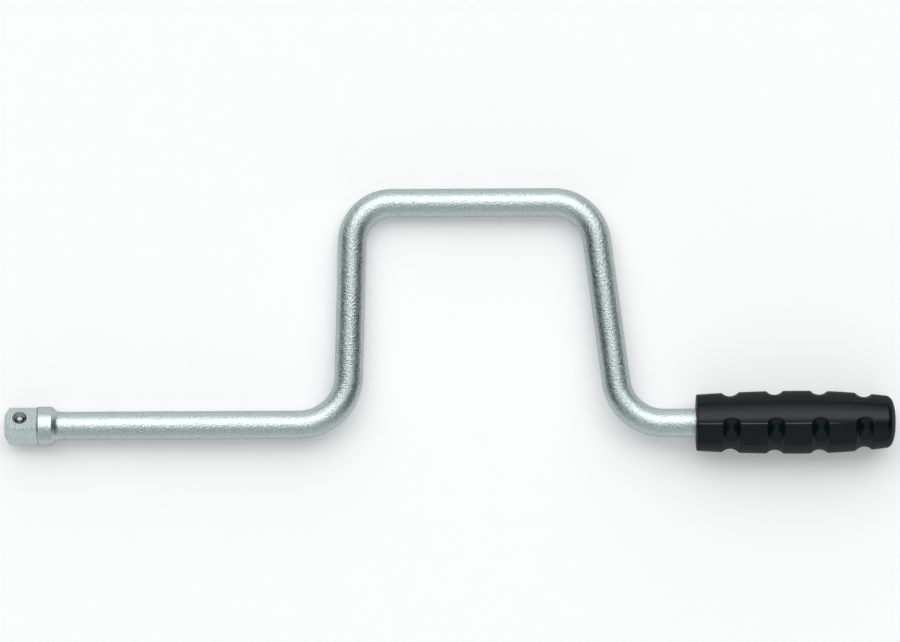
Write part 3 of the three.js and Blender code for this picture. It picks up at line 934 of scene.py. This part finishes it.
# The floor is a plain pale sheet. The brace lies on it by its collar, the handle of the crank and the crest
# of the grip, so the floor is set through the lowest points of these three.
floor_radius = 4.5
floor_sides = 96
floor_tone = (0.9, 0.9, 0.9)
floor_lift = 0.12
collar_foot = Vector((square_length + collar_chamfer, 0, -collar_radius))
grip_foot = Vector((grip_front + crest_from_front, 0, -crest_radius))
handle_start = drive_run + throw * math.tan(drive_leg_lean) + drive_upper_bend
handle_foot = Vector((handle_start, throw, -bar_radius))


def floor_paper():
    """Matt white paper with the slightest unevenness, lifted a little for the camera and in reflections."""
    cloud_size = 0.05
    roughness = 0.85, 0.95
    material, tree, shader = new_finish("floor_paper")
    place = add_node(tree, "ShaderNodeTexCoord").outputs["Object"]
    gloss = between(tree, speckle(tree, place, cloud_size), *roughness)
    tree.links.new(gloss, shader.inputs["Roughness"])
    shader.inputs["Base Color"].default_value = (*floor_tone, 1)
    shader.inputs["Specular IOR Level"].default_value = 0.0
    rays = tree.nodes.new("ShaderNodeLightPath").outputs
    seen = calc(tree, "MAXIMUM", rays["Is Camera Ray"], rays["Is Glossy Ray"])
    seen = calc(tree, "MAXIMUM", seen, rays["Is Transmission Ray"])
    tree.links.new(calc(tree, "MULTIPLY", seen, floor_lift), shader.inputs["Emission Strength"])
    shader.inputs["Emission Color"].default_value = (1, 1, 1, 1)
    return material


floor_normal = (grip_foot - collar_foot).cross(handle_foot - collar_foot).normalized()
floor_turn = Vector((0, 0, 1)).rotation_difference(floor_normal).to_matrix().to_4x4()
work = bmesh.new()
bmesh.ops.create_circle(work, cap_ends=True, segments=floor_sides, radius=floor_radius,
                        matrix=Matrix.Translation((collar_foot + grip_foot) / 2) @ floor_turn)
floor = add_object("floor", bpy.data.meshes.new("floor"))
work.to_mesh(floor.data)
work.free()
floor.data.materials.append(floor_paper())

# The light is a plain soft studio: a white panel hangs over the brace and reaches back behind it, fading to
# either side, with a narrow lamp along the middle of its front edge. The room is grey and darkens to the
# left and the right, further out in front than overhead.
panel_level = 3.0
panel_front_level = 1.0
panel_front = math.radians(1.5)
panel_step = math.radians(3), math.radians(22)
panel_fade = math.radians(22), math.radians(86)
panel_blur = math.radians(2)
panel_front_side = math.radians(60)
panel_side = math.radians(22), math.radians(56)
lamp_level = 6.0
lamp_place = math.radians(-3)
lamp_depth = math.radians(1)
lamp_side = math.radians(12)
room_level = 0.68
room_dark = 0.08
room_side = math.radians(8), math.radians(36)
room_front = math.radians(-60), math.radians(-25)
room_front_reach = math.radians(26)
room_shade = 0.08
room_shade_span = math.radians(-50), math.radians(-24)
room_tint = (0.94, 1.0, 0.99)


def rise(tree, value, low, high):
    """From 0 at low to 1 at high, smoothly."""
    span = {"Value": value, "From Min": low, "From Max": high}
    return add_node(tree, "ShaderNodeMapRange", span, interpolation_type="SMOOTHSTEP").outputs[0]


def fall(tree, value, low, high):
    """From 1 at low to 0 at high, smoothly."""
    return calc(tree, "SUBTRACT", 1.0, rise(tree, value, low, high))


world = bpy.data.worlds.new("studio")
bpy.context.scene.world = world
world.use_nodes = True
tree = world.node_tree
direction = add_node(tree, "ShaderNodeTexCoord").outputs["Generated"]
x, y, z = add_node(tree, "ShaderNodeSeparateXYZ", {"Vector": direction}).outputs
upright = calc(tree, "SQRT", calc(tree, "MULTIPLY_ADD", y, y, calc(tree, "MULTIPLY", z, z)))
back = calc(tree, "ARCTAN2", y, z)
side = calc(tree, "ABSOLUTE", calc(tree, "ARCTAN2", x, upright))
panel = calc(tree, "MULTIPLY", rise(tree, back, panel_front - panel_blur, panel_front + panel_blur),
             fall(tree, back, *panel_fade))
further = rise(tree, back, *panel_step)
near = calc(tree, "MULTIPLY", fall(tree, back, *panel_step), fall(tree, side, 0.0, panel_front_side))
far = calc(tree, "MULTIPLY", further, fall(tree, side, *panel_side))
level = calc(tree, "MULTIPLY_ADD", near, panel_front_level, calc(tree, "MULTIPLY", far, panel_level))
white = calc(tree, "MULTIPLY", panel, level)
panel = calc(tree, "MULTIPLY", panel, calc(tree, "ADD", near, far))
lamp = calc(tree, "MULTIPLY", rise(tree, back, lamp_place - 2 * lamp_depth, lamp_place - lamp_depth),
            fall(tree, back, lamp_place + lamp_depth, lamp_place + 2 * lamp_depth))
lamp = calc(tree, "MULTIPLY", lamp, fall(tree, side, lamp_side / 2, lamp_side))
white = calc(tree, "MULTIPLY_ADD", lamp, lamp_level, white)
front = fall(tree, back, *room_front)
side = calc(tree, "SUBTRACT", side, calc(tree, "MULTIPLY", front, room_front_reach))
grey = calc(tree, "MULTIPLY_ADD", fall(tree, side, *room_side), room_level - room_dark, room_dark)
shaded = calc(tree, "MULTIPLY", rise(tree, back, *room_shade_span), room_shade)
grey = calc(tree, "MULTIPLY", grey, calc(tree, "SUBTRACT", 1.0, shaded))
grey = calc(tree, "MULTIPLY", grey, calc(tree, "SUBTRACT", 1.0, panel))
room = add_node(tree, "ShaderNodeVectorMath", {0: room_tint, "Scale": grey}, operation="SCALE").outputs[0]
light = vector_calc(tree, "ADD", room, white)[0]
tree.links.new(light, tree.nodes["Background"].inputs["Color"])

# The camera hangs high over the brace with a long lens and looks straight down, turned by a hair, which
# gives the photograph's view.
view_width = 0.41193
view_centre = (0.20384, 0.04714)
view_height = 2.5
view_turn = -0.0052
lens = bpy.data.cameras.new("camera")
lens.sensor_width = 36.0
lens.lens = lens.sensor_width * view_height / view_width
lens.clip_end = 20.0
camera = bpy.data.objects.new("camera", lens)
camera.location = (*view_centre, view_height)
camera.rotation_euler = (0, 0, view_turn)
bpy.context.scene.collection.objects.link(camera)
bpy.context.scene.camera = camera
bpy.context.scene.view_settings.view_transform = "Standard"
